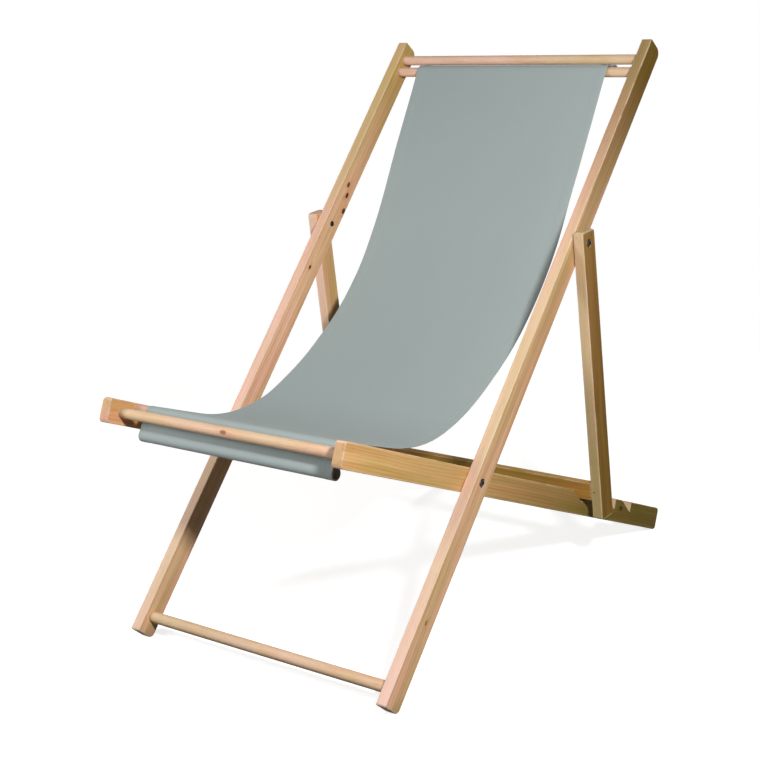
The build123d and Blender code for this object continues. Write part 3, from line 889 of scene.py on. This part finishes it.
def thickness(side_gap):
    """Half thickness of the canvas: more in the hem, less where the stitches pull it down."""
    hem = 1 - ease(side_gap, HEM - HEM_SLOPE, HEM + HEM_SLOPE)
    pulled = 1 - ease(abs(side_gap - STITCH_FROM_SIDE), 0.0, STITCH_REACH)
    return CANVAS / 2 + HEM_EXTRA * hem - STITCH_DIP * pulled


side_gaps = [0.0, 0.0009, 0.003, 0.007, 0.011, 0.0138, 0.0144, 0.0150, 0.0156, 0.0162]
side_gaps += [0.0172, 0.0180, 0.0188, 0.022, 0.028, 0.036]
inner_share = [n / INNER_STEPS for n in range(1, INNER_STEPS)]
print("points across:", 2 * len(side_gaps) + len(inner_share))

# %% [markdown]
# A single surface would look like paper at the sides, so the sheet has two skins and a rounded
# fold between them. Every row is a closed loop, first along the upper skin and then back along
# the lower one. Where each point lies on the flat cloth is noted beside it.

# %% Lay out the points of the sheet


def row_places(half):
    """Places across one row and their distances to the nearer side."""
    left = [(-half + gap, gap) for gap in side_gaps]
    flat = half - side_gaps[-1]
    inner = [(-flat + 2 * flat * share, half - abs(-flat + 2 * flat * share)) for share in inner_share]
    right = [(half - gap, gap) for gap in reversed(side_gaps)]
    return left + inner + right


def skin(spot, normal, across, along, gap, side):
    """One point of the upper or lower skin."""
    lift = slack(across, along, gap, spot) + side * thickness(gap)
    moved = spot + normal * lift
    return (across, moved.x, moved.y)


def row_normal(n):
    """The direction square to the line at one of its points."""
    before = line[max(n - 1, 0)]
    after = line[min(n + 1, len(line) - 1)]
    step = (after - before).normalized()
    return Vector((-step.y, step.x))


points = []
cloth = []
for n, spot in enumerate(line):
    normal = row_normal(n)
    along = travelled[n]
    half = half_width(spot)
    places = row_places(half)
    loop = [(skin(spot, normal, x, along, gap, 1), x) for x, gap in places]
    fold = spot + normal * slack(half, along, 0.0, spot)
    loop.append(((half + CANVAS / 2, fold.x, fold.y), half))
    loop += [(skin(spot, normal, x, along, gap, -1), x) for x, gap in reversed(places)]
    fold = spot + normal * slack(-half, along, 0.0, spot)
    loop.append(((-half - CANVAS / 2, fold.x, fold.y), -half))
    for place, across in loop:
        points.append(place)
        cloth.append((across, along, 0.0))
print("points of the sheet:", len(points))

# %% [markdown]
# The loops are joined by four-sided faces, and the first and last loops are closed by a strip of
# faces each. A face looks outwards when its points are named in the right order, so the two ends
# need opposite orders.

# %% Join the points
loop_size = len(points) // len(line)
skin_size = loop_size // 2 - 1
faces = []
for n in range(len(line) - 1):
    here = n * loop_size
    there = here + loop_size
    for k in range(loop_size):
        after = (k + 1) % loop_size
        faces.append((here + k, here + after, there + after, there + k))


def close_end(start, forwards):
    """Closes the loop whose first point has the number start."""
    last = start + loop_size - 1
    strip = [(start + k, start + k + 1, last - 2 - k, last - 1 - k) for k in range(skin_size - 1)]
    strip.append((start + skin_size - 1, start + skin_size, start + skin_size + 1))
    strip.append((last - 1, last, start))
    for face in strip:
        faces.append(face if forwards else face[::-1])


close_end(0, False)
close_end((len(line) - 1) * loop_size, True)
print("faces of the sheet:", len(faces))

# %% [markdown]
# The mesh keeps each point's place on the flat cloth as an attribute. The weave is drawn with it
# later, because it follows the threads and not the space around them.

# %% Make the sheet
canvas_mesh = bpy.data.meshes.new("canvas_sling")
canvas_mesh.from_pydata(points, [], faces)
canvas_mesh.update()
weave_place = canvas_mesh.attributes.new("cloth_place", "FLOAT_VECTOR", "POINT")
weave_place.data.foreach_set("vector", [part for place in cloth for part in place])
canvas_mesh.shade_smooth()
sling = put("canvas_sling", canvas_mesh)
print("made", sling.name)

# %% [markdown]
# ## Stitches
#
# A row of stitches runs along each side through the hem, on both faces of the cloth, and another
# holds the front pocket. A stitch is a short thread that rises from one needle hole and dives into
# the next. Four rings of six points are enough for that. Each ring has its share of the way, its
# height over the cloth and its size, and all stitches share one mesh.

# %% How to sew one stitch
THREAD = 0.00028
RING_POINTS = 6
STITCH_RINGS = [(0.0, -0.5, 0.7), (0.22, 0.75, 1.0), (0.78, 0.75, 1.0), (1.0, -0.5, 0.7)]
stitch_points = []
stitch_faces = []


def surface_point(across, along, side):
    """A point on the finished cloth, and its normal, from its place on the flat cloth."""
    n = 0
    while n < len(travelled) - 2 and travelled[n + 1] < along:
        n += 1
    share = (along - travelled[n]) / max(travelled[n + 1] - travelled[n], 1e-9)
    spot = line[n].lerp(line[n + 1], share)
    normal = row_normal(n).lerp(row_normal(n + 1), share).normalized()
    gap = half_width(spot) - abs(across)
    place = skin(spot, normal, across, along, gap, side)
    return Vector(place), Vector((0, normal.x, normal.y)) * side


def add_stitch(first, last):
    """One stitch between two points of the cloth, each with its normal."""
    start, start_normal = first
    end, end_normal = last
    base = len(stitch_points)
    for share, rise, size in STITCH_RINGS:
        normal = start_normal.lerp(end_normal, share).normalized()
        across = (end - start).cross(normal).normalized()
        centre = start.lerp(end, share) + normal * (THREAD * rise)
        for k in range(RING_POINTS):
            spin = 2 * pi * k / RING_POINTS
            stitch_points.append(centre + (across * cos(spin) + normal * sin(spin)) * (THREAD * size))
    for ring in range(len(STITCH_RINGS) - 1):
        here = base + ring * RING_POINTS
        there = here + RING_POINTS
        for k in range(RING_POINTS):
            after = (k + 1) % RING_POINTS
            stitch_faces.append((here + k, here + after, there + after, there + k))
    stitch_faces.append(tuple(base + k for k in reversed(range(RING_POINTS))))
    stitch_faces.append(tuple(there + k for k in range(RING_POINTS)))


print("points of a stitch:", RING_POINTS * len(STITCH_RINGS))

# %% [markdown]
# The hem stitches follow the canvas from flap to flap, always at the same distance from its side.

# %% Sew the hems
STITCH = 0.0031
STITCH_PITCH = 0.0040
FLAP_FREE = 0.004

count = int((travelled[-1] - 2 * FLAP_FREE) / STITCH_PITCH)
for n in range(count):
    along = FLAP_FREE + n * STITCH_PITCH
    for side in (1, -1):
        for hand in (1, -1):
            ends = []
            for place in (along, along + STITCH):
                at = surface_point(0.0, place, 1)[0]
                half = half_width(Vector((at.y, at.z)))
                ends.append(surface_point(hand * (half - STITCH_FROM_SIDE), place, side))
            add_stitch(*ends)
print("hem stitches:", 4 * count)

# %% [markdown]
# The seam of the front pocket crosses the whole width. It is sewn through two layers, so it shows
# on the flap and on the canvas that the flap lies against. The seam of the head pocket is squeezed
# in between its dowel and the rungs, out of sight, and isn't made.

# %% Sew the pocket's seam and make one mesh of all stitches
FRONT_SEAM = 0.007
SEAM_FROM_SIDE = 0.004
PAST_POCKET = 0.06
BEFORE_BACK = 0.5

spot = surface_point(0.0, FRONT_SEAM, 1)[0]
seam_at = Vector((spot.y, spot.z))
rows = [n for n, length in enumerate(travelled) if PAST_POCKET < length < BEFORE_BACK]
facing = min(rows, key=lambda n: (line[n] - seam_at).length)
seam_reach = HALF_WIDTHS[0] - SEAM_FROM_SIDE
for along in (travelled[facing], FRONT_SEAM):
    for n in range(int(2 * seam_reach / STITCH_PITCH)):
        across = -seam_reach + n * STITCH_PITCH
        add_stitch(*(surface_point(x, along, 1) for x in (across, across + STITCH)))

stitch_mesh = bpy.data.meshes.new("sling_stitching")
stitch_mesh.from_pydata(stitch_points, [], stitch_faces)
stitch_mesh.update()
stitch_mesh.shade_smooth()
stitching = put("sling_stitching", stitch_mesh)
print("stitches in all:", len(stitch_points) // (RING_POINTS * len(STITCH_RINGS)))

# %% [markdown]
# ## Woven canvas
#
# Canvas is a plain weave: one set of threads runs along the chair, the other across, and each
# passes over and under its neighbours. Two sine waves multiplied give that chequered relief. The
# threads are uneven, so a noise stretched along each set makes thicker and thinner, lighter and
# darker ones. The cloth is matt and even in colour, so these changes stay small.

# %% Finish the canvas
THREADS_PER_METRE = 1150
CLOTH = (0.345, 0.412, 0.418, 1)
CLOTH_DEEP = (0.262, 0.322, 0.327, 1)
CLOTH_FADED = (0.385, 0.444, 0.446, 1)

canvas = Finish("canvas_grey_green")
canvas_settings = {"attribute_type": "GEOMETRY", "attribute_name": "cloth_place"}
flat_place = canvas.node("ShaderNodeAttribute", canvas_settings, {}, "Vector")
cloth_across, cloth_along = canvas.parts(flat_place)[:2]
warp_wave = canvas.maths("SINE", cloth_across * (THREADS_PER_METRE * pi))
weft_wave = canvas.maths("SINE", cloth_along * (THREADS_PER_METRE * pi))
weave = warp_wave * weft_wave * 0.5 + 0.5
warp_threads = canvas.cloud(flat_place, (THREADS_PER_METRE / 2, 26, 1), 2.0)
weft_threads = canvas.cloud(flat_place, (26, THREADS_PER_METRE / 2, 1), 2.0)
uneven = warp_threads * 0.5 + weft_threads * 0.5
worn = canvas.cloud(flat_place, (7, 4, 1), 4.0, 0.6)
side_of_cloth = canvas.maths("ABSOLUTE", cloth_across)
hem_rub = canvas.rise(side_of_cloth, 0.2035, 0.2095) * canvas.rise(worn, 0.3, 0.7)
cloth_colour = canvas.blend(weave * 0.35 + uneven * 0.6, CLOTH_DEEP, CLOTH_FADED)
cloth_colour = canvas.blend(0.45, cloth_colour, CLOTH)
cloth_colour = canvas.blend(worn * 0.22, cloth_colour, CLOTH_FADED)
cloth_colour = canvas.blend(hem_rub * 0.25, cloth_colour, CLOTH_FADED)
canvas.paint(Base_Color=cloth_colour, Roughness=0.80 + uneven * 0.14)
canvas.paint(Sheen_Weight=0.12, Sheen_Roughness=0.5, Specular_IOR_Level=0.08)
canvas.relief(weave * 0.7 + uneven * 0.5, 0.5, 0.00025)
canvas_mesh.materials.append(canvas.material)
print("canvas finished,", THREADS_PER_METRE, "threads to the metre")

# %% [markdown]
# The thread has nearly the colour of the cloth. It is twisted, so it is a little shinier and
# shows finer changes of tone.

# %% Finish the thread
thread = Finish("thread_grey_green")
twist = thread.cloud(thread.points(), (2400, 2400, 2400), 2.0)
thread_colour = thread.blend(twist, (0.30, 0.355, 0.345, 1), (0.44, 0.50, 0.485, 1))
thread.paint(Base_Color=thread_colour, Roughness=0.62 + twist * 0.2)
thread.relief(twist, 0.4, 0.00008)
stitch_mesh.materials.append(thread.material)
print("thread finished")

# %% [markdown]
# ## The canvas in place
#
# The canvas and its stitches have their places written into their meshes, and the CAD's own sling
# is hidden.

for piece in (sling, stitching):
    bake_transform(piece)
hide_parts("sling")

# %% [markdown]
# ## Floor and background
#
# The chair was photographed against plain white. The floor is a pale plane. To the camera, in
# reflections and through anything clear it glows white and adds a little of its own shading, so
# the chair's soft shadow still shows. For the light that it spreads, it is a plain dark grey,
# which keeps the undersides of the boards dark. Far from the chair the shading fades out, and
# floor and background become one white.

# %% Lay the floor
FLOOR = 14.0
FLOOR_GAP = 0.0004

floor_mesh = bpy.data.meshes.new("floor")
corners = [(-FLOOR, -FLOOR, 0), (FLOOR, -FLOOR, 0), (FLOOR, FLOOR, 0), (-FLOOR, FLOOR, 0)]
floor_mesh.from_pydata(corners, [], [(0, 1, 2, 3)])
floor = put("floor", floor_mesh)
floor.location = (0, 0, -FLOOR_GAP)


def seen_directly(network):
    """1 for what the camera, a reflection or a clear thing shows, 0 for light that spreads."""
    camera_ray = network.node("ShaderNodeLightPath", {}, {}, "Is Camera Ray")
    mirrored = camera_ray.sibling("Is Glossy Ray")
    through = camera_ray.sibling("Is Transmission Ray")
    return network.maths("MAXIMUM", camera_ray, network.maths("MAXIMUM", mirrored, through))


ground = Finish("floor_white")
ground.paint(Base_Color=(0.10, 0.10, 0.097, 1), Roughness=0.9)
matt = ground.node("ShaderNodeBsdfDiffuse", {}, {"Color": (0.62, 0.62, 0.62, 1)}, "BSDF")
glow = ground.node("ShaderNodeEmission", {}, {"Color": (1, 1, 1, 1), "Strength": 0.765}, "Emission")
white = ground.node("ShaderNodeEmission", {}, {"Color": (1, 1, 1, 1), "Strength": 1.0}, "Emission")
shaded_floor = ground.node("ShaderNodeAddShader", {}, {0: matt, 1: glow}, "Shader")
far_off = ground.rise(ground.length(ground.points()), 0.9, 1.9)
mix = {0: far_off, 1: shaded_floor, 2: white}
for_camera = ground.node("ShaderNodeMixShader", {}, mix, "Shader")
for_light = Wire(ground, ground.surface.outputs["BSDF"])
mix = {0: seen_directly(ground), 1: for_light, 2: for_camera}
ground.ends_in(ground.node("ShaderNodeMixShader", {}, mix, "Shader"))
floor_mesh.materials.append(ground.material)
print("floor laid")

# %% [markdown]
# ## Light
#
# The main lamp stands to the right of the camera, higher than the head. The shadow that the right
# leg throws on the seat rail, just in front of the leg, gives its direction and height. It lights
# the outer sides and leaves the undersides dark. A softer lamp in front on the left makes the front
# edges bright and evens out the canvas. A weak one behind the chair keeps the rear sides readable,
# and a wide panel overhead lights what faces up. Very little comes from all around.

# %% Set the lamps


def lamp(name, kind, place, watts, colour, size):
    """Adds a lamp, whose size is that of a ball or the side of a panel."""
    data = bpy.data.lights.new(name, kind)
    data.energy = watts
    data.color = colour
    if kind == "AREA":
        data.size = size
    else:
        data.shadow_soft_size = size
    put(name, data).location = place
    print(name, "at", place)


lamp("key_lamp", "POINT", (1.46, -0.96, 1.36), 132, (1.0, 0.985, 0.96), 0.10)
lamp("front_fill", "POINT", (-0.95, -1.45, 1.02), 66, (1.0, 0.98, 0.95), 0.40)
lamp("rear_fill", "POINT", (-0.80, 1.90, 1.25), 36, (1.0, 0.98, 0.95), 0.50)
lamp("overhead_panel", "AREA", (0.0, -0.3, 2.6), 4, (1.0, 0.96, 0.88), 2.2)

# %% [markdown]
# The world is white wherever the floor is: to the camera, in reflections and through anything
# clear. All other light gets only a weak, warm fill from it, so the shaded sides of the boards
# stay deep.

# %% Set the world
world = bpy.data.worlds.new("studio")
bpy.context.scene.world = world
sky = Network(world, "World Output")
weak = {"Color": (1.0, 0.93, 0.80, 1), "Strength": 0.024}
bright = {"Color": (1, 1, 1, 1), "Strength": 1.0}
fill_light = sky.node("ShaderNodeBackground", {}, weak, "Background")
backdrop = sky.node("ShaderNodeBackground", {}, bright, "Background")
mix = {0: seen_directly(sky), 1: fill_light, 2: backdrop}
sky.ends_in(sky.node("ShaderNodeMixShader", {}, mix, "Shader"))
print("world set")
